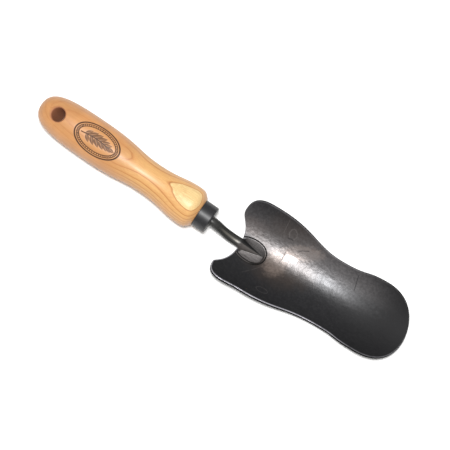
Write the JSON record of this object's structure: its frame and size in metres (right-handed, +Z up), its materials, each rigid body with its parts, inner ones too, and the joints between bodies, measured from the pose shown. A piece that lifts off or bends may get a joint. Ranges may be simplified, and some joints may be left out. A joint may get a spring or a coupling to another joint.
{
  "type": "hand transplanter",
  "caption": "Hand transplanter with a long dished blade, rounded heel lobes, a cranked forged neck, a black ferrule and a turned ash handle with a hanging hole.",
  "frame": {"origin": "on the surface that the tool lies on, under the middle of its bounding box", "axes": "+X from the handle's butt towards the blade's tip, +Z up out of the blade's hollow"},
  "size_m": [0.3234, 0.072, 0.0328],
  "materials": {
    "ash": "turned, sanded and oiled, with the growth layers showing as nested ovals",
    "ferrule_black": "satin black oxide on a drawn steel cap",
    "forged_steel": "forge black, ground bright on the palm's two facets",
    "blade_steel": "heat-blued and oiled sheet steel, worn bright along its arris",
    "weld_bead": "dressed weld bead"
  },
  "bodies": {
    "root": {"handle": "ash", "ferrule": "ferrule_black", "shank": "forged_steel", "blade": "blade_steel", "palm_weld": "weld_bead"}
  },
  "joints": []
}
